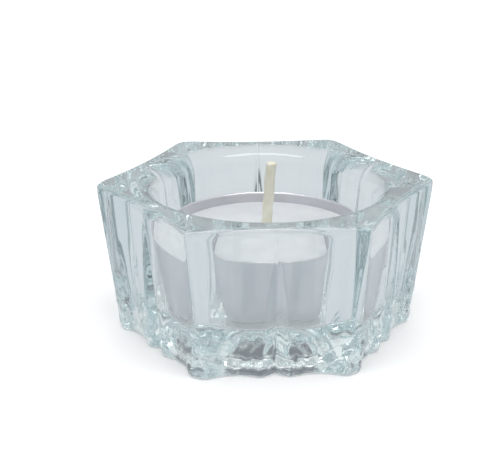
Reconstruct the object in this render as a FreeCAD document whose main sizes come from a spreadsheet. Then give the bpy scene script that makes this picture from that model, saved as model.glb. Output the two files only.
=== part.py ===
"""A pressed-glass hexagonal tealight holder with a tealight standing in it.

Five pieces: the glass holder, and the tealight's aluminium cup, wax pellet, wick and wick sustainer.
Frame: millimetres, +Z up, origin on the resting face at the holder's axis, a corner along +X.
"""
import FreeCAD, Part
import os
import Sketcher

V = FreeCAD.Vector

DIMENSIONS = {
    # glass holder: outer form
    "holder_height": 30.0,
    "rim_corner_radius": 33.25,
    "base_corner_radius": 29.7,
    "rim_strip": 0.9,
    "base_strip": 2.6,
    "rim_side_bow": 1.1,
    "base_side_bow": 0.1,
    "bow_radius": 115.0,
    # glass holder: the V flute in the middle of each side
    "flute_half_base": 2.8,
    "flute_half_middle": 1.9,
    "flute_half_tip": 0.5,
    "flute_depth_base": 1.6,
    "flute_depth_middle": 1.5,
    "flute_depth_tip": 0.05,
    "flute_middle": 13.0,
    "flute_tip": 28.5,
    "flute_reach": 3.0,
    # glass holder: the two rounded scallops at the foot of each side
    "scallop_offset": 7.7,
    "scallop_radius": 10.0,
    "scallop_depth": 1.25,
    "scallop_top": 18.0,
    # glass holder: bore and underside
    "bore_radius": 21.4,
    "bore_floor": 8.2,
    "bore_floor_radius": 20.3,
    "bore_corner": 1.0,
    "mouth_round": 3.1,
    "recess_radius": 20.0,
    "recess_slope": 3.0,
    "recess_depth": 2.0,
    "recess_dome": 3.5,
    # tealight cup
    "cup_radius": 19.1,
    "cup_base_radius": 17.3,
    "cup_height": 13.1,
    "cup_wall": 0.22,
    "cup_lift": 0.1,
    "cup_heel": 0.9,
    "cup_panel_radius": 15.0,
    "cup_panel_slope": 0.6,
    "cup_panel_rise": 0.5,
    # wax pellet, wick and sustainer
    "wax_clearance": 0.12,
    "wax_below_rim": 1.75,
    "wax_heel": 1.5,
    "wick_radius": 1.1,
    "wick_top": 33.4,
    "wick_lean": 0.9,
    "plate_radius": 6.2,
    "plate_thickness": 0.3,
    "collar_radius": 1.7,
    "collar_height": 4.0,
    "fit_gap": 0.05,
}
SIDES = 6

# heights and radii that follow from the driving dimensions
CUP_FOOT = "(<bore_floor> + <cup_lift>)"
CUP_RIM = f"({CUP_FOOT} + <cup_height>)"
CUP_PANEL = f"({CUP_FOOT} + <cup_panel_rise>)"
WAX_FOOT = f"({CUP_PANEL} + <cup_wall> + <wax_clearance>)"
WAX_TOP = f"({CUP_RIM} - <wax_below_rim>)"
WAX_FOOT_RADIUS = "(<cup_base_radius> - <cup_wall> - <wax_clearance>)"
CUP_TAPER = "((<cup_radius> - <cup_base_radius>) / (<cup_height> - <cup_heel>))"
WAX_TOP_RADIUS = f"({WAX_FOOT_RADIUS} + {CUP_TAPER} * ({WAX_TOP} - {CUP_FOOT} - <cup_heel>))"
PLATE_TOP = f"({WAX_FOOT} + <plate_thickness>)"
COLLAR_TOP = f"({PLATE_TOP} + <collar_height>)"
WICK_HOLE = "(<wick_radius> + <fit_gap>)"


def cells(formula):
    """Writes each <name> in a formula as a reference to the sheet's cell."""
    return formula.replace("<", "Dimensions.").replace(">", "")


def apothem(height):
    """Formula for the distance from the axis to a side's plane at a height."""
    growth = "(<rim_corner_radius> - <base_corner_radius>)"
    return f"((<base_corner_radius> + {growth} * {height} / <holder_height>) * cos(30 deg))"


def side_bow(height):
    """Formula for how far the middle of a side is bowed in at a height."""
    return f"(<base_side_bow> + (<rim_side_bow> - <base_side_bow>) * {height} / <holder_height>)"


def make_sheet(doc):
    """Puts every driving dimension into a spreadsheet cell with an alias."""
    sheet = doc.addObject("Spreadsheet::Sheet", "Dimensions")
    for row, (name, value) in enumerate(DIMENSIONS.items(), start=1):
        sheet.set(f"A{row}", name)
        sheet.set(f"B{row}", str(value))
        sheet.setAlias(f"B{row}", name)
    doc.recompute()
    return sheet


def make_body(doc, name):
    """An empty body whose label names the piece."""
    body = doc.addObject("PartDesign::Body", name)
    body.Label = name
    body.Placement = FreeCAD.Placement()
    return body


def origin_feature(body, role):
    """The body's own origin plane or axis with this role."""
    return next(f for f in body.Origin.OriginFeatures if f.Role == role)


def new_sketch(body, name, role="XY_Plane", height=None):
    """A sketch on an origin plane, or at a height above it given by a formula."""
    sketch = body.newObject("Sketcher::SketchObject", name)
    sketch.AttachmentSupport = [(origin_feature(body, role), "")]
    sketch.MapMode = "FlatFace"
    if height:
        sketch.setExpression(".AttachmentOffset.Base.z", cells(height))
    return sketch


def drive(sketch, kind, where, formula):
    """Adds a dimension to a sketch and binds it to a formula."""
    value = float(sketch.Document.Dimensions.evalExpression(cells(formula)))
    index = sketch.addConstraint(Sketcher.Constraint(kind, *where, value))
    sketch.setExpression(f"Constraints[{index}]", cells(formula))


def place_point(sketch, curve, end, x, y):
    """Ties a point of a curve to a place in the sketch given by two formulas."""
    drive(sketch, "DistanceX", (-1, 1, curve, end), x)
    drive(sketch, "DistanceY", (-1, 1, curve, end), y)


def value_of(sketch, x, y):
    """The point that two formulas give."""
    sheet = sketch.Document.Dimensions
    return V(*(float(sheet.evalExpression(cells(f))) for f in (x, y)), 0)


def polygon(sketch, corners):
    """A closed outline of straight lines through corners given as pairs of formulas."""
    points = [value_of(sketch, *corner) for corner in corners]
    count = len(points)
    for i, point in enumerate(points):
        sketch.addGeometry(Part.LineSegment(point, points[(i + 1) % count]), False)
    for i in range(count):
        sketch.addConstraint(Sketcher.Constraint("Coincident", i, 2, (i + 1) % count, 1))
    for i, corner in enumerate(corners):
        place_point(sketch, i, 1, *corner)
    return sketch


def circle(sketch, x, y, radius):
    """A circle with its centre and radius given by formulas."""
    size = float(sketch.Document.Dimensions.evalExpression(cells(radius)))
    sketch.addGeometry(Part.Circle(value_of(sketch, x, y), V(0, 0, 1), size), False)
    place_point(sketch, 0, 3, x, y)
    drive(sketch, "Radius", (0,), radius)
    return sketch


def loft(body, kind, name, profile, *sections):
    """An additive or subtractive loft with straight sides through two or more sketches."""
    feature = body.newObject(f"PartDesign::{kind}Loft", name)
    feature.Profile = profile
    feature.Sections = list(sections)
    feature.Ruled = True
    return feature


def spin(body, kind, name, sketch):
    """A full revolution or groove of a sketch about its own vertical axis, the part's Z."""
    feature = body.newObject(f"PartDesign::{kind}", name)
    feature.Profile = sketch
    feature.ReferenceAxis = (sketch, ["V_Axis"])
    feature.Angle = 360
    return feature


def repeat_on_sides(body, name, *features):
    """Repeats features on all the sides of the holder."""
    pattern = body.newObject("PartDesign::PolarPattern", name)
    pattern.Originals = list(features)
    pattern.Axis = (origin_feature(body, "Z_Axis"), [""])
    pattern.Angle = 360
    pattern.Occurrences = SIDES
    body.Tip = pattern
    return pattern


def fillet(body, name, radius, wanted):
    """Rounds those edges of the body's tip for which wanted(edge) holds."""
    body.Document.recompute()
    base = body.Tip
    edges = [f"Edge{i}" for i, edge in enumerate(base.Shape.Edges, start=1) if wanted(edge)]
    feature = body.newObject("PartDesign::Fillet", name)
    feature.Base = (base, edges)
    feature.setExpression("Radius", cells(radius))
    body.Tip = feature


def blunt_hexagon(sketch, radius, strip):
    """A hexagon with a corner along +X, each corner cut off by a flat strip of this width."""
    inward = f"({radius} - {strip} / 2 / tan(60 deg))"
    corners = []
    for side in range(SIDES):
        turn = f"{360 // SIDES * side} deg"
        for across in (f"-{strip} / 2", f"{strip} / 2"):
            corners.append((f"{inward} * cos({turn}) - ({across}) * sin({turn})",
                            f"{inward} * sin({turn}) + ({across}) * cos({turn})"))
    return polygon(sketch, corners)


def holder_blank(body):
    """The solid hexagonal block, wider at the rim, with its sides bowed in towards the rim."""
    top = "<holder_height>"
    base = blunt_hexagon(new_sketch(body, "base_outline"), "<base_corner_radius>", "<base_strip>")
    rim = blunt_hexagon(new_sketch(body, "rim_outline", height=top), "<rim_corner_radius>",
                        "<rim_strip>")
    loft(body, "Additive", "block", base, rim)

    def bow(name, height):
        sketch = new_sketch(body, name, height=height)
        centre = f"-({apothem(height)} + <bow_radius> - {side_bow(height)})"
        return circle(sketch, "0", centre, "<bow_radius>")

    hollow = loft(body, "Subtractive", "side_bow", bow("bow_at_base", "0"),
                  bow("bow_at_rim", top))
    repeat_on_sides(body, "side_bows", hollow)


def side_flutes(body):
    """The V flute up the middle of each side and the two scallops beside its foot."""

    def notch(name, height, half, depth):
        sketch = new_sketch(body, name, height=height)
        outer = f"-({apothem(height)} + <flute_reach>)"
        face = f"-({apothem(height)} - {side_bow(height)})"
        valley = f"-({apothem(height)} - {side_bow(height)} - {depth})"
        return polygon(sketch, [(f"-{half}", outer), (half, outer), (half, face), ("0", valley),
                                (f"-{half}", face)])

    def scallop(side, sign):
        def section(name, height, depth):
            sketch = new_sketch(body, f"{name}_{side}", height=height)
            centre = f"-({apothem(height)} + <scallop_radius> - {depth})"
            return circle(sketch, f"{sign}<scallop_offset>", centre, "<scallop_radius>")

        return loft(body, "Subtractive", f"scallop_{side}",
                    section("scallop_base", "0", "<scallop_depth>"),
                    section("scallop_end", "<scallop_top>", "0"))

    flute = loft(body, "Subtractive", "flute",
                 notch("flute_base", "0", "<flute_half_base>", "<flute_depth_base>"),
                 notch("flute_mid", "<flute_middle>", "<flute_half_middle>", "<flute_depth_middle>"),
                 notch("flute_end", "<flute_tip>", "<flute_half_tip>", "<flute_depth_tip>"))
    repeat_on_sides(body, "flutes", flute)
    repeat_on_sides(body, "scallops", scallop("left", "-"), scallop("right", ""))


def dome_profile(body, reach):
    """Half the section of the dome over the recess: a flat foot, the axis and an arc."""
    sketch = new_sketch(body, "dome_profile", "XZ_Plane")
    peak = "(<recess_depth> + <recess_dome>)"
    radius = f"(({reach} * {reach} + <recess_dome> * <recess_dome>) / (2 * <recess_dome>))"
    foot, rim = value_of(sketch, "0", "<recess_depth>"), value_of(sketch, reach, "<recess_depth>")
    top, centre = value_of(sketch, "0", peak), value_of(sketch, "0", f"{peak} - {radius}")
    middle = centre + ((rim + top) * 0.5 - centre).normalize() * (top - centre).Length
    sketch.addGeometry(Part.LineSegment(top, foot), False)
    sketch.addGeometry(Part.LineSegment(foot, rim), False)
    sketch.addGeometry(Part.Arc(rim, middle, top), False)
    start, end = (1, 2) if sketch.getPoint(2, 1).isEqual(rim, 1e-6) else (2, 1)
    for pair in ((0, 2, 1, 1), (1, 2, 2, start), (2, end, 0, 1)):
        sketch.addConstraint(Sketcher.Constraint("Coincident", *pair))
    place_point(sketch, 0, 1, "0", peak)
    place_point(sketch, 0, 2, "0", "<recess_depth>")
    place_point(sketch, 1, 2, reach, "<recess_depth>")
    drive(sketch, "DistanceX", (-1, 1, 2, 3), "0")
    return sketch


def bore_and_recess(body):
    """The bore that the tealight stands in and the domed recess under the thick base."""
    top = "<holder_height>"
    bore = new_sketch(body, "bore_profile", "XZ_Plane")
    polygon(bore, [("0", "<bore_floor>"), ("<bore_floor_radius>", "<bore_floor>"),
                   ("<bore_radius>", top), ("0", top)])
    spin(body, "Groove", "bore", bore)
    recess = new_sketch(body, "recess_profile", "XZ_Plane")
    inner = "(<recess_radius> - <recess_slope>)"
    polygon(recess, [("0", "0"), ("<recess_radius>", "0"), (inner, "<recess_depth>"),
                     ("0", "<recess_depth>")])
    spin(body, "Groove", "recess", recess)
    spin(body, "Groove", "recess_dome", dome_profile(body, inner))

    def circle_at(height, radius):
        height, radius = (value_of(bore, formula, "0").x for formula in (height, radius))

        def wanted(edge):
            box = edge.BoundBox
            flat = box.ZLength < 0.01 and abs(box.ZMin - height) < 0.01
            return flat and abs(box.XMax - radius) < 0.01
        return wanted

    fillet(body, "bore_corner", "<bore_corner>", circle_at("<bore_floor>", "<bore_floor_radius>"))
    fillet(body, "mouth_round", "<mouth_round>", circle_at(top, "<bore_radius>"))


def glass_holder(doc):
    """The pressed-glass hexagonal holder, one piece of glass."""
    body = make_body(doc, "glass_holder")
    holder_blank(body)
    side_flutes(body)
    bore_and_recess(body)
    return body


def tealight_cup(doc):
    """The thin drawn aluminium cup, tapering to a raised bottom panel."""
    body = make_body(doc, "tealight_cup")
    panel_foot = "(<cup_panel_radius> + <cup_panel_slope>)"
    heel = "(<cup_base_radius> - <cup_heel>)"
    wall = "<cup_wall>"
    shell = new_sketch(body, "shell_profile", "XZ_Plane")
    polygon(shell, [
        ("0", CUP_PANEL), ("<cup_panel_radius>", CUP_PANEL), (panel_foot, CUP_FOOT),
        (heel, CUP_FOOT), ("<cup_base_radius>", f"{CUP_FOOT} + <cup_heel>"),
        ("<cup_radius>", CUP_RIM), (f"<cup_radius> - {wall}", CUP_RIM),
        (f"<cup_base_radius> - {wall}", f"{CUP_FOOT} + <cup_heel> + {wall} / 3"),
        (f"{heel} - {wall} / 3", f"{CUP_FOOT} + {wall}"),
        (f"{panel_foot} + {wall} / 3", f"{CUP_FOOT} + {wall}"),
        (f"<cup_panel_radius> + {wall} / 3", f"{CUP_PANEL} + {wall}"), ("0", f"{CUP_PANEL} + {wall}"),
    ])
    spin(body, "Revolution", "shell", shell)
    return body


def wax(doc):
    """The tapered wax pellet, with a hole for the wick and a seat for its sustainer."""
    body = make_body(doc, "wax")
    seat = "(<plate_radius> + <fit_gap>)"
    neck = "(<collar_radius> + <fit_gap>)"
    profile = new_sketch(body, "wax_profile", "XZ_Plane")
    polygon(profile, [
        (WICK_HOLE, WAX_TOP), (WAX_TOP_RADIUS, WAX_TOP),
        (WAX_FOOT_RADIUS, f"{WAX_FOOT} + <wax_heel>"),
        (f"{WAX_FOOT_RADIUS} - <wax_heel>", WAX_FOOT), (seat, WAX_FOOT),
        (seat, f"{PLATE_TOP} + <fit_gap>"), (neck, f"{PLATE_TOP} + <fit_gap>"),
        (neck, f"{COLLAR_TOP} + <fit_gap>"), (WICK_HOLE, f"{COLLAR_TOP} + <fit_gap>"),
    ])
    spin(body, "Revolution", "pellet", profile)
    return body


def wick_sustainer(doc):
    """The small steel plate under the wax, with the collar that holds the wick."""
    body = make_body(doc, "wick_sustainer")
    profile = new_sketch(body, "sustainer_profile", "XZ_Plane")
    polygon(profile, [
        (WICK_HOLE, WAX_FOOT), ("<plate_radius>", WAX_FOOT), ("<plate_radius>", PLATE_TOP),
        ("<collar_radius>", PLATE_TOP), ("<collar_radius>", COLLAR_TOP), (WICK_HOLE, COLLAR_TOP),
    ])
    spin(body, "Revolution", "plate_and_collar", profile)
    return body


def wick(doc):
    """The waxed cotton wick, straight in the wax and leaning a little above it."""
    body = make_body(doc, "wick")
    section = circle(new_sketch(body, "wick_section", height=WAX_FOOT), "0", "0", "<wick_radius>")
    path = new_sketch(body, "wick_path", "XZ_Plane")
    rise = f"(<wick_top> - {WAX_TOP})"
    bend = f"({rise} * {rise} + <wick_lean> * <wick_lean>) / (2 * <wick_lean>)"
    foot, turn = value_of(path, "0", WAX_FOOT), value_of(path, "0", WAX_TOP)
    centre, tip = value_of(path, bend, WAX_TOP), value_of(path, "<wick_lean>", "<wick_top>")
    middle = centre + ((turn + tip) * 0.5 - centre).normalize() * (turn - centre).Length
    path.addGeometry(Part.LineSegment(foot, turn), False)
    path.addGeometry(Part.Arc(turn, middle, tip), False)
    start, end = (1, 2) if path.getPoint(1, 1).isEqual(turn, 1e-6) else (2, 1)
    place_point(path, 0, 1, "0", WAX_FOOT)
    place_point(path, 0, 2, "0", WAX_TOP)
    path.addConstraint(Sketcher.Constraint("Coincident", 0, 2, 1, start))
    place_point(path, 1, 3, bend, WAX_TOP)
    drive(path, "DistanceY", (-1, 1, 1, end), "<wick_top>")
    pipe = body.newObject("PartDesign::AdditivePipe", "strand")
    pipe.Profile = section
    pipe.Spine = (path, ["Edge1", "Edge2"])
    return body


def check(doc, bodies):
    """Stops if an object of the document failed or a piece is not one valid solid."""
    for item in doc.Objects:
        if {"Invalid", "Error"} & set(item.State):
            raise RuntimeError(f"{item.Name} failed: {item.State}")
    for body in bodies:
        shape = body.Shape
        if shape.isNull() or not shape.isValid() or len(shape.Solids) != 1:
            raise RuntimeError(f"{body.Label} is not one valid solid")
        for feature in body.Group:
            if feature.isDerivedFrom("PartDesign::Feature"):
                print(f"{body.Label} {feature.Name}: {feature.Shape.Volume:.1f} mm3")


def main():
    doc = FreeCAD.newDocument("tealight_holder")
    make_sheet(doc)
    bodies = [make(doc) for make in (glass_holder, tealight_cup, wax, wick_sustainer, wick)]
    doc.recompute()
    check(doc, bodies)
    os.makedirs("parts", exist_ok=True)
    for body in bodies:
        body.Shape.exportStep(f"parts/{body.Label}.step")


main()
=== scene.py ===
"""Looks for the pressed-glass tealight holder: glass, aluminium cup, wax, wick, sustainer."""
import math
import bpy
import numpy as np
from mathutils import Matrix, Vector


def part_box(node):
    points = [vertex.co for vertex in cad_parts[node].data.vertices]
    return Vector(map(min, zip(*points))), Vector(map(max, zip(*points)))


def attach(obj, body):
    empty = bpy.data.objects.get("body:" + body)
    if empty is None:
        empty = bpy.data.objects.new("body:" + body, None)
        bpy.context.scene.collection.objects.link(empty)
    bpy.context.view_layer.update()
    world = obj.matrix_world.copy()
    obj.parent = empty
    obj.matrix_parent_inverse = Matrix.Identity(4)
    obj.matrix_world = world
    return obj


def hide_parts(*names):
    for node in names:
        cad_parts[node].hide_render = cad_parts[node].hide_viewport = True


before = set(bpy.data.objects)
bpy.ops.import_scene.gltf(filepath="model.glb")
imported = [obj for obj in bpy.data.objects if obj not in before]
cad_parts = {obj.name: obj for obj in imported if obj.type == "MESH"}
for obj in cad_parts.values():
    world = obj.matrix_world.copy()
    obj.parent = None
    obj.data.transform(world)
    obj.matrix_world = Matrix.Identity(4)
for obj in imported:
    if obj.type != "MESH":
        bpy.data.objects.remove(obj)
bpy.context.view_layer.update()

MM = 0.001
TURN = 2 * math.pi
SIDES = 6
SIDE_ANGLE = TURN / SIDES


# ---- sizes read from the frame, in millimetres ----
def box_mm(node):
    """Lowest and highest corner of a CAD node at rest, in millimetres."""
    low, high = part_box(node)
    return [c / MM for c in low], [c / MM for c in high]


HOLDER_HIGH = box_mm("glass_holder")[1]
CUP_LOW, CUP_HIGH = box_mm("tealight_cup")
WAX_LOW, WAX_HIGH = box_mm("wax")
WICK_LOW, WICK_HIGH = box_mm("wick")
PLATE_HIGH = box_mm("wick_sustainer")[1]

# ---- glass holder, in millimetres ----
# The outline: a hexagon with blunt corners and bowed sides, wider at the rim.
HEIGHT = HOLDER_HIGH[2]
RIM_STRIP = 0.9
BASE_STRIP = 2.6
STRIP_SLOPE = math.tan(math.radians(60))
RIM_CORNER = HOLDER_HIGH[0] + RIM_STRIP / 2 / STRIP_SLOPE
BASE_CORNER = 29.7
RIM_BOW = 1.1
BASE_BOW = 0.1
CORNER_EDGE_BASE = 0.35
CORNER_EDGE_RIM = 2.2
CORNER_EDGE_POWER = 30
OUTLINE_STEPS = 12
# The flute up the middle of each side: half width and depth at some heights.
FLUTE_HEIGHTS = (0.0, 5.0, 9.0, 17.0, 23.0, 28.5)
FLUTE_HALVES = (2.8, 2.5, 2.3, 1.7, 1.0, 0.3)
FLUTE_DEPTHS = (1.6, 1.75, 1.8, 1.5, 0.8, 0.0)
FLUTE_POWER = 1.25
FLUTE_SHARP = 0.06
# The two scallops beside the flute.
SCALLOP_EDGE = 0.3
SCALLOP_OFFSET = 7.7
SCALLOP_RADIUS = 10.0
SCALLOP_DEPTH = 1.25
SCALLOP_TOP = 20.0
# The bore, the mouth's rounding, the rounded edges and the recess underneath.
BORE_RADIUS = 21.4
BORE_FLOOR_RADIUS = 20.3
BORE_FLOOR = 8.2
BORE_CORNER = 1.0
MOUTH_DROP = 3.2
MOUTH_TURN = 78.0
RIM_ROUND = 1.0
FOOT_ROUND = 0.7
RECESS_RADIUS = 20.0
RECESS_DEPTH = 2.0
RECESS_SLOPE = 3.0
RECESS_DOME = 3.5
RECESS_POWER = 2.0
# Unevenness: how far it moves the surface, and over what height it fades out.
WALL_SWAY = 0.03
WALL_FADE = 4
WALL_SEED = 3
BORE_SWAY = 0.02
BORE_FADE = 3
BORE_SEED = 5
CRINKLE_HEIGHT = 0.13
CRINKLE_TOP = 9.5
CRINKLE_RISE = 1.0
CRINKLE_FADE = 3.0
CRINKLE_SEED = 9
# Points across a side, and where they crowd: (place from -1 to 1, spread, extra density).
COLUMNS = 92
CROWDING = ((0.0, 0.05, 3.5), (0.14, 0.07, 1.5), (0.96, 0.06, 1.6))
CROWDING_STEPS = 2001
# Rows of points along each part of the skin.
CENTRE_GAP = 0.05
DOME_ROWS = 18
SLOPE_START = 0.1
SLOPE_ROWS = 12
FOOT_ROWS = (0.33, 0.66)
ROUND_ROWS = 7
WALL_ROWS = 62
RIM_ROWS = 8
MOUTH_ROWS = 20
BORE_ROWS = 26
BORE_CORNER_ROWS = 8
BORE_FLOOR_ROWS = 10

# Kinds of unevenness: waves added up, turns and climb of each, and what the sum is divided by.
SWAY = {"count": 7, "turns": (2, 19), "climb": 0.5, "share": 3.5}
CRINKLE = {"count": 14, "turns": (16, 90), "climb": 2.4, "share": 5}


def soft_max(a, b, width):
    """The larger of a and b, with the corner between them rounded over width."""
    h = np.clip(width - np.abs(a - b), 0, None) / width
    return np.maximum(a, b) + h * h * width / 4


def soft_min(a, b, width):
    """The smaller of a and b, with the corner between them rounded over width."""
    return -soft_max(-a, -b, width)


def ripples(theta, z, seed, count, turns, climb, share):
    """Seeded unevenness of a surface, mostly within -1 to 1."""
    rng = np.random.default_rng(seed)
    total = 0 * theta
    for _ in range(count):
        around = rng.integers(*turns)
        up = rng.uniform(-climb, climb)
        total = total + np.sin(around * theta + up * z + rng.uniform(0, TURN))
    return total / share


def from_base_to_rim(base, rim, z):
    """A size that grows evenly from the base to the rim, at height z."""
    return base + (rim - base) * z / HEIGHT


def side_cut(s, z):
    """How far the surface lies in from the flat side at s along it and height z."""
    bow = from_base_to_rim(BASE_BOW, RIM_BOW, z)
    half_side = from_base_to_rim(BASE_CORNER, RIM_CORNER, z) / 2
    cut = bow * np.clip(1 - (s / half_side) ** 2, 0, None)
    half = np.interp(z, FLUTE_HEIGHTS, FLUTE_HALVES)
    depth = np.interp(z, FLUTE_HEIGHTS, FLUTE_DEPTHS)
    across = np.sqrt(s * s + FLUTE_SHARP ** 2) - FLUTE_SHARP
    cut = cut + depth * np.clip(1 - across / half, 0, None) ** FLUTE_POWER
    reach = SCALLOP_DEPTH * (1 - z / SCALLOP_TOP)
    across = np.clip(np.abs(s) - SCALLOP_OFFSET, -SCALLOP_RADIUS, SCALLOP_RADIUS)
    scallop = reach - (SCALLOP_RADIUS - np.sqrt(SCALLOP_RADIUS ** 2 - across ** 2))
    return cut + soft_max(scallop, 0 * s, SCALLOP_EDGE)


def outline_radius(phi, z):
    """Distance from the axis to the outer surface at an angle phi from a side's middle."""
    corner = from_base_to_rim(BASE_CORNER, RIM_CORNER, z)
    strip = from_base_to_rim(BASE_STRIP, RIM_STRIP, z)
    apothem = corner * math.cos(SIDE_ANGLE / 2)
    blunt = corner - strip / 2 / STRIP_SLOPE
    edge_growth = (CORNER_EDGE_RIM - CORNER_EDGE_BASE) * (z / HEIGHT) ** CORNER_EDGE_POWER
    edge = CORNER_EDGE_BASE + edge_growth
    n = apothem * np.ones_like(phi)
    for _ in range(OUTLINE_STEPS):
        s = n * np.tan(phi)
        flat = apothem - side_cut(s, z)
        cut = (blunt - np.abs(s) * math.sin(SIDE_ANGLE / 2)) / math.cos(SIDE_ANGLE / 2)
        n = 0.5 * n + 0.5 * soft_min(flat, cut, edge)
    return n / np.cos(phi)


# ---- points and meshes ----
def arc(centre, radius, start, stop, steps):
    """Points of an arc in the (radius, height) plane, angles in degrees."""
    turn = np.radians(np.linspace(start, stop, steps))
    return [(centre[0] + radius * math.cos(t), centre[1] + radius * math.sin(t)) for t in turn]


def line(start, stop, steps):
    """Points from start to stop in the (radius, height) plane, without the first."""
    return [tuple(np.array(start) + (np.array(stop) - np.array(start)) * t)
            for t in np.linspace(0, 1, steps + 1)[1:]]


def ring(radius, theta, z, lean=0.0):
    """Points around the axis; radius and z are one number each, or one for each angle."""
    even = np.ones_like(theta)
    x, y = radius * even * np.cos(theta), radius * even * np.sin(theta)
    return np.stack([lean + x, y, z * even], axis=1)


def turned(profile, columns, shift):
    """Rings through (radius, height) points; shift(theta, row) moves a row's points."""
    theta = np.linspace(0, TURN, columns, endpoint=False)
    rings = []
    for row, (r, z) in enumerate(profile):
        dr, dz = shift(theta, row)
        rings.append(ring(r + dr, theta, z + dz))
    return np.array(rings)


def add_piece(name, points, faces):
    """A new object from points in metres and faces."""
    mesh = bpy.data.meshes.new(name)
    mesh.from_pydata(points, [], faces)
    piece = bpy.data.objects.new(name, mesh)
    bpy.context.scene.collection.objects.link(piece)
    return piece


def add_smooth_piece(name, points, faces):
    """A new smooth-shaded object from an array of points in millimetres and faces."""
    piece = add_piece(name, (points * MM).tolist(), faces)
    piece.data.polygons.foreach_set("use_smooth", [True] * len(faces))
    piece.data.update()
    return piece


def ring_mesh(name, rings):
    """A closed mesh through rings of points, capped at both ends."""
    rows, columns = rings.shape[:2]
    points = np.vstack([rings.reshape(-1, 3), rings[0].mean(axis=0), rings[-1].mean(axis=0)])
    faces = []
    for row in range(rows - 1):
        a, b = row * columns, (row + 1) * columns
        for i in range(columns):
            j = (i + 1) % columns
            faces.append((a + i, a + j, b + j, b + i))
    end = (rows - 1) * columns
    for i in range(columns):
        j = (i + 1) % columns
        faces.append((rows * columns, j, i))
        faces.append((rows * columns + 1, end + i, end + j))
    return add_smooth_piece(name, points, faces)


def tube_mesh(name, rings):
    """A closed mesh through rings of points whose last ring joins its first."""
    rows, columns = rings.shape[:2]
    faces = []
    for row in range(rows):
        a, b = row * columns, (row + 1) % rows * columns
        for i in range(columns):
            j = (i + 1) % columns
            faces.append((a + i, b + i, b + j, a + j))
    return add_smooth_piece(name, rings.reshape(-1, 3), faces)


# ---- glass holder ----
def side_steps():
    """Positions across a side from -1 to 1, closer together at the flute and the corners."""
    fine = np.linspace(-1, 1, CROWDING_STEPS)
    density = 1
    for place, spread, extra in CROWDING:
        density = density + extra * np.exp(-((np.abs(fine) - place) / spread) ** 2)
    reach = np.cumsum(density)
    reach = (reach - reach[0]) / (reach[-1] - reach[0])
    return np.interp(np.linspace(0, 1, COLUMNS + 1)[:-1], reach, fine)


def underside(phi):
    """Radius and height of each row from the middle of the recess out to the foot."""
    rows = []
    ceiling = RECESS_RADIUS - RECESS_SLOPE
    for t in np.linspace(CENTRE_GAP, 1, DOME_ROWS):
        rows.append((t * ceiling, RECESS_DEPTH + RECESS_DOME * (1 - t ** RECESS_POWER)))
    for t in np.linspace(SLOPE_START, 1, SLOPE_ROWS):
        blend = (1 - math.cos(math.pi * t)) / 2
        rows.append((ceiling + RECESS_SLOPE * t, RECESS_DEPTH * (1 - blend)))
    foot = outline_radius(phi, 0.0) - FOOT_ROUND
    for t in FOOT_ROWS:
        rows.append((RECESS_RADIUS + (foot - RECESS_RADIUS) * t, 0.0))
    return rows


def outer_wall(phi, theta):
    """Radius and height of each row of the rounded foot, the wall and the rounded rim."""
    rows = []
    for turn in np.radians(np.linspace(-90, 0, ROUND_ROWS)):
        z = FOOT_ROUND * (1 + math.sin(turn))
        rows.append((outline_radius(phi, z) - FOOT_ROUND * (1 - math.cos(turn)), z))
    for z in np.linspace(FOOT_ROUND, HEIGHT - RIM_ROUND, WALL_ROWS)[1:-1]:
        near_end = min(1, z / WALL_FADE, (HEIGHT - z) / WALL_FADE)
        uneven = WALL_SWAY * ripples(theta, z, WALL_SEED, **SWAY) * near_end - WALL_SWAY
        near_foot = min((z - FOOT_ROUND) / CRINKLE_RISE, (CRINKLE_TOP - z) / CRINKLE_FADE, 1.0)
        wrinkle = CRINKLE_HEIGHT * max(0.0, near_foot)
        wrinkle = wrinkle * ripples(theta, z, CRINKLE_SEED, **CRINKLE)
        rows.append((outline_radius(phi, z) + uneven + wrinkle, z))
    for turn in np.radians(np.linspace(0, 90, ROUND_ROWS)):
        z = HEIGHT - RIM_ROUND * (1 - math.sin(turn))
        rows.append((outline_radius(phi, z) - RIM_ROUND * (1 - math.cos(turn)), z))
    return rows


def mouth_and_bore(phi, theta):
    """Radius and height of each row of the flat rim, the mouth, the bore and its floor."""
    rows = []
    outer = outline_radius(phi, HEIGHT) - RIM_ROUND
    mouth_turn = math.radians(MOUTH_TURN)
    mouth_round = MOUTH_DROP / (1 - math.cos(mouth_turn))
    mouth = BORE_RADIUS + mouth_round * math.sin(mouth_turn)
    for t in np.linspace(0, 1, RIM_ROWS)[1:-1]:
        rows.append((outer + (mouth - outer) * t, HEIGHT))
    rows += arc((mouth, HEIGHT - mouth_round), mouth_round, 90, 90 + MOUTH_TURN, MOUTH_ROWS)
    top, low = HEIGHT - MOUTH_DROP, BORE_FLOOR + BORE_CORNER
    for z in np.linspace(top, low, BORE_ROWS)[1:]:
        r = BORE_FLOOR_RADIUS + (BORE_RADIUS - BORE_FLOOR_RADIUS) * (z - low) / (top - low)
        near_end = min(1, (top - z) / BORE_FADE, (z - low) / BORE_FADE)
        rows.append((r + BORE_SWAY * ripples(theta, z, BORE_SEED, **SWAY) * near_end, z))
    floor_radius = BORE_FLOOR_RADIUS - BORE_CORNER
    rows += arc((floor_radius, low), BORE_CORNER, 0, -90, BORE_CORNER_ROWS)[1:]
    for t in np.linspace(1, CENTRE_GAP, BORE_FLOOR_ROWS)[1:]:
        rows.append((t * floor_radius, BORE_FLOOR))
    return rows


def glass_holder():
    """The pressed-glass holder as one closed skin."""
    phi_side = np.arctan(math.tan(SIDE_ANGLE / 2) * side_steps())
    phi = np.concatenate([phi_side] * SIDES)
    theta = np.concatenate([phi_side + SIDE_ANGLE * (k + 0.5) for k in range(SIDES)])
    rows = underside(phi) + outer_wall(phi, theta) + mouth_and_bore(phi, theta)
    return ring_mesh("holder_glass", np.array([ring(r, theta, z) for r, z in rows]))


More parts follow.
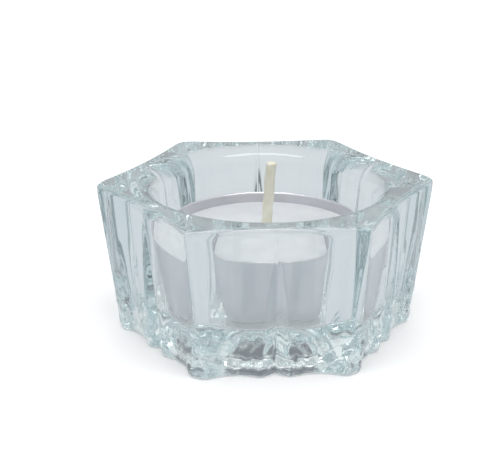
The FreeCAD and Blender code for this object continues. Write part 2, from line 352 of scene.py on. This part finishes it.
# ---- tealight, in millimetres ----
# The top of each random phase, a little short of a whole turn.
PHASE_TOP = 6.28
CUP_COLUMNS = 360
CUP_RADIUS = CUP_HIGH[0]
CUP_RIM = CUP_HIGH[2]
CUP_FOOT = CUP_LOW[2]
CUP_BASE_RADIUS = 17.3
CUP_WALL = 0.22
CUP_HEEL = 0.9
CUP_CENTRE_GAP = 0.6
CUP_PANEL_RADIUS = 15.0
CUP_PANEL_RISE = 0.5
CUP_PANEL_SLOPE = 0.7
CUP_HEEL_STOP = -4
# The ragged rim and the sway of the wall; the spreads count rows down from the rim.
RAG_SEED = 11
RAG_WAVES = 16
RAG_TURNS = (5, 90)
RAG_SHARE = 6
RAG_SPREAD = 1.2
RIM_RAG = 0.12
SWAY_WAVES = 5
CUP_SWAY = 0.04
CUP_SWAY_SPREAD = 26

WAX_COLUMNS = 240
WAX_RADIUS = WAX_HIGH[0]
WAX_TOP = WAX_HIGH[2]
WAX_FOOT = WAX_LOW[2]
WAX_FOOT_RADIUS = 16.9
WAX_HEEL = 1.5
WAX_SOFT = 0.5
WAX_EDGE_DROP = 0.22
WAX_HOLE_GAP = 0.02
WAX_HOLE_TOPS = (1.0, 0.05)
WAX_DISH = 0.3
WAX_DISH_RISE = 0.08
WAX_DISH_ROWS = 26
WAX_MENISCUS = 0.25
WAX_MENISCUS_SPREAD = 0.8
WAX_SEAT_GAP = 0.05
WAX_SEAT_DEPTH = 0.35
WAX_COLLAR_RADIUS = 2.0
WAX_SWAY = 0.02
WAX_SWAY_SEED = 21
WAX_SWAY_ROWS = range(4, 27)
WAX_SWAY_STEP = 0.8

WICK_COLUMNS = 48
WICK_ROWS = 150
WICK_RADIUS = WICK_HIGH[1]
WICK_TOP = WICK_HIGH[2]
WICK_LEAN = 0.9
WICK_TWIST = 5.5
WICK_STRANDS = 3
WICK_PLAIT = (0.03, 0.02)
WICK_SLACK = 0.08
WICK_LUMP = 0.005
WICK_LUMPS = 6
WICK_SEED = 7
WICK_CAP = 0.25
WICK_CAP_ROUND = 0.25


def tealight_cup():
    """The thin foil cup: raised panel and rounded heel below, a ragged cut edge at the rim."""
    def skin(offset):
        """The profile of one face of the foil, from the middle out and up to the rim."""
        heel = CUP_BASE_RADIUS - CUP_HEEL
        step = CUP_PANEL_RADIUS + CUP_PANEL_SLOPE
        low = CUP_FOOT + offset
        rise = CUP_FOOT + CUP_PANEL_RISE + offset
        middle, panel = (CUP_CENTRE_GAP, rise), (CUP_PANEL_RADIUS, rise)
        points = [middle] + line(middle, panel, 6)
        points += line(panel, (step, low), 3)
        points += line((step, low), (heel, low), 2)
        points += arc((heel, CUP_FOOT + CUP_HEEL), CUP_HEEL - offset, -90, CUP_HEEL_STOP, 8)[1:]
        return points + line(points[-1], (CUP_RADIUS - offset, CUP_RIM), 24)

    outer, inner = skin(0.0), skin(CUP_WALL)
    rows = len(outer)
    rng = np.random.default_rng(RAG_SEED)
    waves = [(rng.integers(*RAG_TURNS), rng.uniform(0, PHASE_TOP)) for _ in range(RAG_WAVES)]

    def shift(theta, row):
        """Sway of the wall and rag of the rim, fading down both faces."""
        from_rim = (rows - 1 - row) if row < rows else (row - rows)
        near = math.exp(-from_rim / RAG_SPREAD)
        fade = max(0.0, 1 - from_rim / CUP_SWAY_SPREAD)
        rag = sum(np.sin(k * theta + p) for k, p in waves) / RAG_SHARE
        sway = sum(np.sin(k * theta + p) for k, p in waves[:SWAY_WAVES]) / SWAY_WAVES
        return -CUP_SWAY - CUP_SWAY * sway * fade, -RIM_RAG * near * (1 + rag) / 2

    return ring_mesh("cup_foil", turned(outer + inner[::-1], CUP_COLUMNS, shift))


def wax_pellet():
    """The wax: a slightly dished top with a soft edge and a small rise at the wick."""
    hole = WICK_RADIUS + WAX_HOLE_GAP
    top = [(hole, WAX_TOP - drop) for drop in WAX_HOLE_TOPS]
    for t in np.linspace(0.0, 1, WAX_DISH_ROWS)[1:]:
        r = WICK_RADIUS + (WAX_RADIUS - WAX_SOFT - WICK_RADIUS) * t
        rise = WAX_MENISCUS * math.exp(-(r - WICK_RADIUS) / WAX_MENISCUS_SPREAD)
        top.append((r, WAX_TOP - WAX_DISH + rise + WAX_DISH_RISE * t * t))
    edge_centre = (WAX_RADIUS - WAX_SOFT, WAX_TOP - WAX_EDGE_DROP - WAX_SOFT)
    edge = arc(edge_centre, WAX_SOFT, 90, 0, 6)[1:]
    side = line(edge[-1], (WAX_FOOT_RADIUS, WAX_FOOT + WAX_HEEL), 6)
    heel = line(side[-1], (WAX_FOOT_RADIUS - WAX_HEEL, WAX_FOOT), 3)
    seat, ceiling = PLATE_HIGH[0] + WAX_SEAT_GAP, WAX_FOOT + WAX_SEAT_DEPTH
    collar = PLATE_HIGH[2] + WAX_SEAT_GAP
    under = line(heel[-1], (seat, WAX_FOOT), 4) + [(seat, ceiling), (WAX_COLLAR_RADIUS, ceiling)]
    inside = [(WAX_COLLAR_RADIUS, collar), (hole, collar)]

    def shift(theta, row):
        """A slight sway of the dished top."""
        if row in WAX_SWAY_ROWS:
            return 0, WAX_SWAY * ripples(theta, row * WAX_SWAY_STEP, WAX_SWAY_SEED, **SWAY)
        return 0, 0

    profile = top + edge + side + heel + under + inside
    return tube_mesh("wax_pellet", turned(profile, WAX_COLUMNS, shift))


def wick_strand():
    """The waxed wick: three plaited strands under a coat of wax, leaning above the pellet."""
    theta = np.linspace(0, TURN, WICK_COLUMNS, endpoint=False)
    rng = np.random.default_rng(WICK_SEED)
    lumps = [(rng.integers(1, 4), rng.uniform(0.3, 1.6), rng.uniform(0, PHASE_TOP))
             for _ in range(WICK_LUMPS)]
    rings = []
    for z in np.linspace(WICK_LOW[2], WICK_TOP, WICK_ROWS):
        up = max(0.0, z - WAX_TOP)
        lean = WICK_LEAN * up / (WICK_TOP - WAX_TOP)
        twist = TURN * z / WICK_TWIST
        plait = WICK_PLAIT[0] * np.cos(WICK_STRANDS * theta - twist)
        plait = plait + WICK_PLAIT[1] * np.cos(WICK_STRANDS * theta + twist)
        lumpy = sum(np.sin(k * theta + f * z + p) for k, f, p in lumps) * WICK_LUMP
        end = min(1.0, (WICK_TOP - z) / WICK_CAP)
        dome = math.sqrt(max(0.0, 1 - (1 - end) ** 2))
        cap = 1 - WICK_CAP_ROUND + WICK_CAP_ROUND * dome
        r = (WICK_RADIUS - WICK_SLACK + (plait + lumpy) * (1 if up else 0)) * cap
        rings.append(ring(r, theta, z, lean))
    return ring_mesh("wick_strand", np.array(rings))


# ---- materials ----
# Noise scales are features per metre, bump heights are metres.
GLASS_TINT = (0.585, 0.75, 0.76, 1)
GLASS_DENSITY = 13.0
GLASS_IOR = 1.52
GLASS_HAZE = 0.002
GLASS_HAZE_SCALE = 120
CHILL_REACH = (0.0035, 0.0085)
CHILL_REST = 0.0
CHILL_SCALE = 450.0
CHILL_HEIGHT = 0.00008

CUP_DARK = (0.87, 0.872, 0.895)
CUP_LIGHT = (0.94, 0.942, 0.96)
# Painted shade: darker colours for the inner face of the cup's wall and its base.
CUP_PAINTED_SHADE_DARK = (0.63, 0.63, 0.66)
CUP_PAINTED_SHADE_LIGHT = (0.71, 0.71, 0.74)
CUP_METAL = 0.85
CUP_ROUGH = (0.32, 0.46)
CUP_MARK_SCALE = 900
CUP_MARK_STRETCH = (1, 1, 0.12)
CUP_MARK_HEIGHT = 0.00002
CUP_BLOTCH_SCALE = 160
CUP_SHADE_MARGIN = 0.05

WAX_DARK = (0.64, 0.665, 0.69)
WAX_LIGHT = (0.72, 0.745, 0.765)
WAX_ROUGH = (0.38, 0.55)
WAX_MOTTLE_SCALE = 220
WAX_GRAIN_SCALE = 1500
WAX_GRAIN_HEIGHT = 0.00003
WAX_SCATTER = (0.35, (1.0, 0.95, 0.85), 0.0012)
WAX_IOR = 1.43

WICK_DARK = (0.72, 0.70, 0.58)
WICK_LIGHT = (0.86, 0.85, 0.74)
WICK_ROUGH = (0.45, 0.75)
WICK_FIBRE_SCALE = 1800
WICK_FIBRE_STRETCH = (1, 1, 0.25)
WICK_FIBRE_HEIGHT = 0.00006
WICK_BLOTCH_SCALE = 350
WICK_SCATTER = (0.25, (1.0, 0.8, 0.5), 0.0006)

STEEL_DARK = (0.52, 0.52, 0.50)
STEEL_LIGHT = (0.68, 0.68, 0.66)
STEEL_ROUGH = (0.22, 0.4)
STEEL_GRAIN_SCALE = 700
STEEL_GRAIN_STRETCH = (1, 0.1, 1)
STEEL_GRAIN_HEIGHT = 0.00002


def new_material(name):
    """A node material, its tree and its Principled shader."""
    material = bpy.data.materials.new(name)
    material.use_nodes = True
    return material, material.node_tree, material.node_tree.nodes["Principled BSDF"]


def set_material(piece, material):
    """The material as the piece's only one."""
    piece.data.materials.clear()
    piece.data.materials.append(material)


def add_noise(tree, scale, detail=4.0, stretch=(1, 1, 1)):
    """A noise texture over the object's own coordinates."""
    coord = tree.nodes.new("ShaderNodeTexCoord")
    mapping = tree.nodes.new("ShaderNodeMapping")
    mapping.inputs["Scale"].default_value = stretch
    noise = tree.nodes.new("ShaderNodeTexNoise")
    noise.inputs["Scale"].default_value = scale
    noise.inputs["Detail"].default_value = detail
    tree.links.new(coord.outputs["Object"], mapping.inputs["Vector"])
    tree.links.new(mapping.outputs["Vector"], noise.inputs["Vector"])
    return noise.outputs["Fac"]


def split_coord(tree, kind):
    """The x, y and z outputs of a kind of texture coordinate."""
    coord = tree.nodes.new("ShaderNodeTexCoord")
    split = tree.nodes.new("ShaderNodeSeparateXYZ")
    tree.links.new(coord.outputs[kind], split.inputs[0])
    return split.outputs


def add_ramp(tree, source, low, high, start=0.3, end=0.7):
    """A colour ramp from low to high over part of the source's range."""
    ramp = tree.nodes.new("ShaderNodeValToRGB")
    first, last = ramp.color_ramp.elements
    first.position, last.position = start, end
    first.color, last.color = (*low, 1), (*high, 1)
    tree.links.new(source, ramp.inputs["Fac"])
    return ramp.outputs["Color"]


def add_range(tree, source, low, high, reach=(0.0, 1.0)):
    """The source, over its reach, mapped onto a range of numbers."""
    span = tree.nodes.new("ShaderNodeMapRange")
    span.inputs["From Min"].default_value, span.inputs["From Max"].default_value = reach
    span.inputs["To Min"].default_value, span.inputs["To Max"].default_value = low, high
    tree.links.new(source, span.inputs["Value"])
    return span.outputs["Result"]


def add_math(tree, kind, *values):
    """A math node on numbers or node outputs."""
    node = tree.nodes.new("ShaderNodeMath")
    node.operation = kind
    for slot, value in zip(node.inputs, values):
        if isinstance(value, (int, float)):
            slot.default_value = value
        else:
            tree.links.new(value, slot)
    return node.outputs["Value"]


def add_mix(tree, factor, a, b):
    """A mix from a to b, which are colours or node outputs."""
    mix = tree.nodes.new("ShaderNodeMix")
    mix.data_type = "RGBA"
    tree.links.new(factor, mix.inputs["Factor"])
    for slot, value in ((mix.inputs["A"], a), (mix.inputs["B"], b)):
        if isinstance(value, tuple):
            slot.default_value = value
        else:
            tree.links.new(value, slot)
    return mix.outputs["Result"]


def add_bump(tree, shader, source, distance):
    """Bump from a source, distance in metres."""
    bump = tree.nodes.new("ShaderNodeBump")
    bump.inputs["Distance"].default_value = distance
    bump.inputs["Strength"].default_value = 1.0
    tree.links.new(source, bump.inputs["Height"])
    tree.links.new(bump.outputs["Normal"], shader.inputs["Normal"])


def set_scatter(shader, weight, radius, scale):
    """Light scattered under a translucent surface."""
    shader.inputs["Subsurface Weight"].default_value = weight
    shader.inputs["Subsurface Radius"].default_value = radius
    shader.inputs["Subsurface Scale"].default_value = scale


def glass_material():
    """Clear soda-lime glass, faintly grey-green, with fine chill marks near its foot."""
    material, tree, shader = new_material("clear_glass")
    shader.inputs["Base Color"].default_value = (1, 1, 1, 1)
    shader.inputs["Transmission Weight"].default_value = 1.0
    shader.inputs["IOR"].default_value = GLASS_IOR
    haze = add_range(tree, add_noise(tree, GLASS_HAZE_SCALE), 0.0, GLASS_HAZE)
    tree.links.new(haze, shader.inputs["Roughness"])
    low = add_range(tree, split_coord(tree, "Object")["Z"], 1.0, CHILL_REST, CHILL_REACH)
    chill = add_math(tree, "MULTIPLY", add_noise(tree, CHILL_SCALE, 3), low)
    add_bump(tree, shader, chill, CHILL_HEIGHT)
    volume = tree.nodes.new("ShaderNodeVolumeAbsorption")
    volume.inputs["Color"].default_value = GLASS_TINT
    volume.inputs["Density"].default_value = GLASS_DENSITY
    tree.links.new(volume.outputs["Volume"], tree.nodes["Material Output"].inputs["Volume"])
    return material


def shaded_inside_of_cup(tree):
    """Painted shade mask: 1 inside the middle of the cup's wall, which takes in the wall's inner
    face and the base, 0 on the wall's outer face and its edge.
    """
    x, y, z = split_coord(tree, "Object")
    squares = add_math(tree, "ADD", add_math(tree, "MULTIPLY", x, x),
                       add_math(tree, "MULTIPLY", y, y))
    slope = (CUP_RADIUS - CUP_BASE_RADIUS) / (CUP_RIM - CUP_FOOT - CUP_HEEL)
    middle = CUP_RADIUS - CUP_WALL / 2 - CUP_SHADE_MARGIN
    wall = add_math(tree, "MULTIPLY_ADD", z, slope, (middle - slope * CUP_RIM) * MM)
    return add_math(tree, "LESS_THAN", add_math(tree, "SQRT", squares), wall)


def foil_material():
    """Dull drawn aluminium foil with fine drawing marks down the side, and painted shade that
    darkens the inside of the cup.
    """
    material, tree, shader = new_material("cup_aluminium")
    marks = add_noise(tree, CUP_MARK_SCALE, 3, CUP_MARK_STRETCH)
    blotch = add_noise(tree, CUP_BLOTCH_SCALE)
    # Painted shade: the inner face and the base take the darker colours, the outer face keeps
    # its own.
    colour = add_mix(tree, shaded_inside_of_cup(tree), add_ramp(tree, blotch, CUP_DARK, CUP_LIGHT),
                     add_ramp(tree, blotch, CUP_PAINTED_SHADE_DARK, CUP_PAINTED_SHADE_LIGHT))
    tree.links.new(colour, shader.inputs["Base Color"])
    tree.links.new(add_range(tree, marks, *CUP_ROUGH), shader.inputs["Roughness"])
    shader.inputs["Metallic"].default_value = CUP_METAL
    add_bump(tree, shader, marks, CUP_MARK_HEIGHT)
    return material


def wax_material():
    """White paraffin: slightly translucent, faintly mottled, smooth with fine pits."""
    material, tree, shader = new_material("white_wax")
    mottle = add_noise(tree, WAX_MOTTLE_SCALE, 5)
    grain = add_noise(tree, WAX_GRAIN_SCALE, 3)
    tree.links.new(add_ramp(tree, mottle, WAX_DARK, WAX_LIGHT), shader.inputs["Base Color"])
    tree.links.new(add_range(tree, mottle, *WAX_ROUGH), shader.inputs["Roughness"])
    set_scatter(shader, *WAX_SCATTER)
    shader.inputs["IOR"].default_value = WAX_IOR
    add_bump(tree, shader, grain, WAX_GRAIN_HEIGHT)
    return material


def wick_material():
    """Cotton soaked in wax: cream, darker in patches, with fine fibres along it."""
    material, tree, shader = new_material("waxed_cotton")
    fibre = add_noise(tree, WICK_FIBRE_SCALE, 4, WICK_FIBRE_STRETCH)
    blotch = add_noise(tree, WICK_BLOTCH_SCALE)
    tree.links.new(add_ramp(tree, blotch, WICK_DARK, WICK_LIGHT), shader.inputs["Base Color"])
    tree.links.new(add_range(tree, fibre, *WICK_ROUGH), shader.inputs["Roughness"])
    set_scatter(shader, *WICK_SCATTER)
    add_bump(tree, shader, fibre, WICK_FIBRE_HEIGHT)
    return material


def steel_material():
    """Thin tin-plated steel with a fine rolled grain."""
    material, tree, shader = new_material("tinned_steel")
    grain = add_noise(tree, STEEL_GRAIN_SCALE, 3, STEEL_GRAIN_STRETCH)
    tree.links.new(add_ramp(tree, grain, STEEL_DARK, STEEL_LIGHT), shader.inputs["Base Color"])
    tree.links.new(add_range(tree, grain, *STEEL_ROUGH), shader.inputs["Roughness"])
    shader.inputs["Metallic"].default_value = 1.0
    add_bump(tree, shader, grain, STEEL_GRAIN_HEIGHT)
    return material


# ---- stage ----
CAMERA_DISTANCE = 0.255
CAMERA_HEIGHT = 0.01383
CAMERA_ELEVATION = math.radians(21.16)
CAMERA_TURN = math.radians(4.39)
CAMERA_ROLL = 0.007
CAMERA_LENS = 92.6
CAMERA_SENSOR = 36.0
CAMERA_SHIFT = (-0.0318, 0.0586)
CAMERA_CLIP = 0.01
FLOOR_HALF = 3.0
FLOOR_LEVEL = -0.0001
FLOOR_SEEN = (1.0, 1.0, 1.0, 1)
# Painted shade and painted glow: other rays see the floor in a darker colour with a glow, and
# camera rays see it white with a fainter glow.
FLOOR_PAINTED_SHADE = (0.32, 0.345, 0.36, 1)
FLOOR_GLOW = 0.37
FLOOR_CAMERA_GLOW = 0.1
FLOOR_GLOW_COLOUR = (0.93, 0.965, 1.0, 1)
FLOOR_ROUGH = 0.9
WORLD_LOW = (0.185, 0.21, 0.22)
WORLD_HIGH = (0.92, 0.93, 0.94)
WORLD_MID = 0.5
SOFTBOX_SIZE = (0.9, 0.22)
SOFTBOX_POWER = 2.5
SOFTBOX_PLACE = (0.0, -0.32, 0.8)
BOUNCES = 40
GLOSSY_BOUNCES = 24
DIFFUSE_BOUNCES = 8


def add_camera():
    """The camera, above the front side and a little to its left."""
    data = bpy.data.cameras.new("camera")
    data.lens = CAMERA_LENS
    data.sensor_width = CAMERA_SENSOR
    data.shift_x, data.shift_y = CAMERA_SHIFT
    data.clip_start = CAMERA_CLIP
    camera = bpy.data.objects.new("camera", data)
    bpy.context.scene.collection.objects.link(camera)
    flat = CAMERA_DISTANCE * math.cos(CAMERA_ELEVATION)
    camera.location = (-flat * math.sin(CAMERA_TURN), -flat * math.cos(CAMERA_TURN),
                       CAMERA_HEIGHT + CAMERA_DISTANCE * math.sin(CAMERA_ELEVATION))
    look = Vector((0, 0, CAMERA_HEIGHT)) - camera.location
    camera.rotation_euler = look.to_track_quat("-Z", "Y").to_euler()
    camera.rotation_euler.rotate_axis("Z", CAMERA_ROLL)
    bpy.context.scene.camera = camera


def add_floor():
    """A white floor with a faint painted glow to camera rays. To rays other than the camera's it
    shows painted shade, a darker colour, and a stronger soft painted glow.
    """
    near, far = -FLOOR_HALF, FLOOR_HALF
    corners = [(near, near, 0), (far, near, 0), (far, far, 0), (near, far, 0)]
    floor = add_piece("floor", corners, [(0, 1, 2, 3)])
    floor.location.z = FLOOR_LEVEL
    material, tree, shader = new_material("floor")
    seen = tree.nodes.new("ShaderNodeLightPath").outputs["Is Camera Ray"]
    # Painted shade for rays other than the camera's, and a painted glow whose strength depends
    # on the kind of ray.
    colour = add_mix(tree, seen, FLOOR_PAINTED_SHADE, FLOOR_SEEN)
    tree.links.new(colour, shader.inputs["Base Color"])
    glow = add_math(tree, "MULTIPLY_ADD", seen, FLOOR_CAMERA_GLOW - FLOOR_GLOW, FLOOR_GLOW)
    tree.links.new(glow, shader.inputs["Emission Strength"])
    shader.inputs["Emission Color"].default_value = FLOOR_GLOW_COLOUR
    shader.inputs["Roughness"].default_value = FLOOR_ROUGH
    shader.inputs["Specular IOR Level"].default_value = 0.0
    set_material(floor, material)


def add_light():
    """A pale sky, darker towards the horizon, and one softbox above the front."""
    world = bpy.data.worlds.new("world")
    bpy.context.scene.world = world
    world.use_nodes = True
    tree = world.node_tree
    height = split_coord(tree, "Generated")["Z"]
    sky = add_ramp(tree, height, WORLD_LOW, WORLD_HIGH, 0.0, WORLD_MID)
    back = tree.nodes["Background"]
    tree.links.new(sky, back.inputs["Color"])
    back.inputs["Strength"].default_value = 1.0
    data = bpy.data.lights.new("softbox", "AREA")
    data.shape = "RECTANGLE"
    data.size, data.size_y = SOFTBOX_SIZE
    data.energy = SOFTBOX_POWER
    softbox = bpy.data.objects.new("softbox", data)
    softbox.location = SOFTBOX_PLACE
    bpy.context.scene.collection.objects.link(softbox)


def main():
    """All pieces on their bodies, the stage, and the light paths that clear glass needs."""
    for piece, node, body, slot, material in (
        (glass_holder(), "glass_holder", "holder", "clear_glass", glass_material()),
        (tealight_cup(), "tealight_cup", "tealight", "cup_aluminium", foil_material()),
        (wax_pellet(), "wax", "candle", "white_wax", wax_material()),
        (wick_strand(), "wick", "candle", "waxed_cotton", wick_material()),
    ):
        set_material(piece, material)
        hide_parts(node)
        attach(piece, body)
    set_material(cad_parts["wick_sustainer"], steel_material())
    add_floor()
    add_light()
    add_camera()
    scene = bpy.context.scene
    scene.view_settings.view_transform = "Standard"
    scene.cycles.max_bounces = BOUNCES
    scene.cycles.transmission_bounces = BOUNCES
    scene.cycles.glossy_bounces = GLOSSY_BOUNCES
    scene.cycles.diffuse_bounces = DIFFUSE_BOUNCES
    scene.cycles.volume_bounces = 0


main()
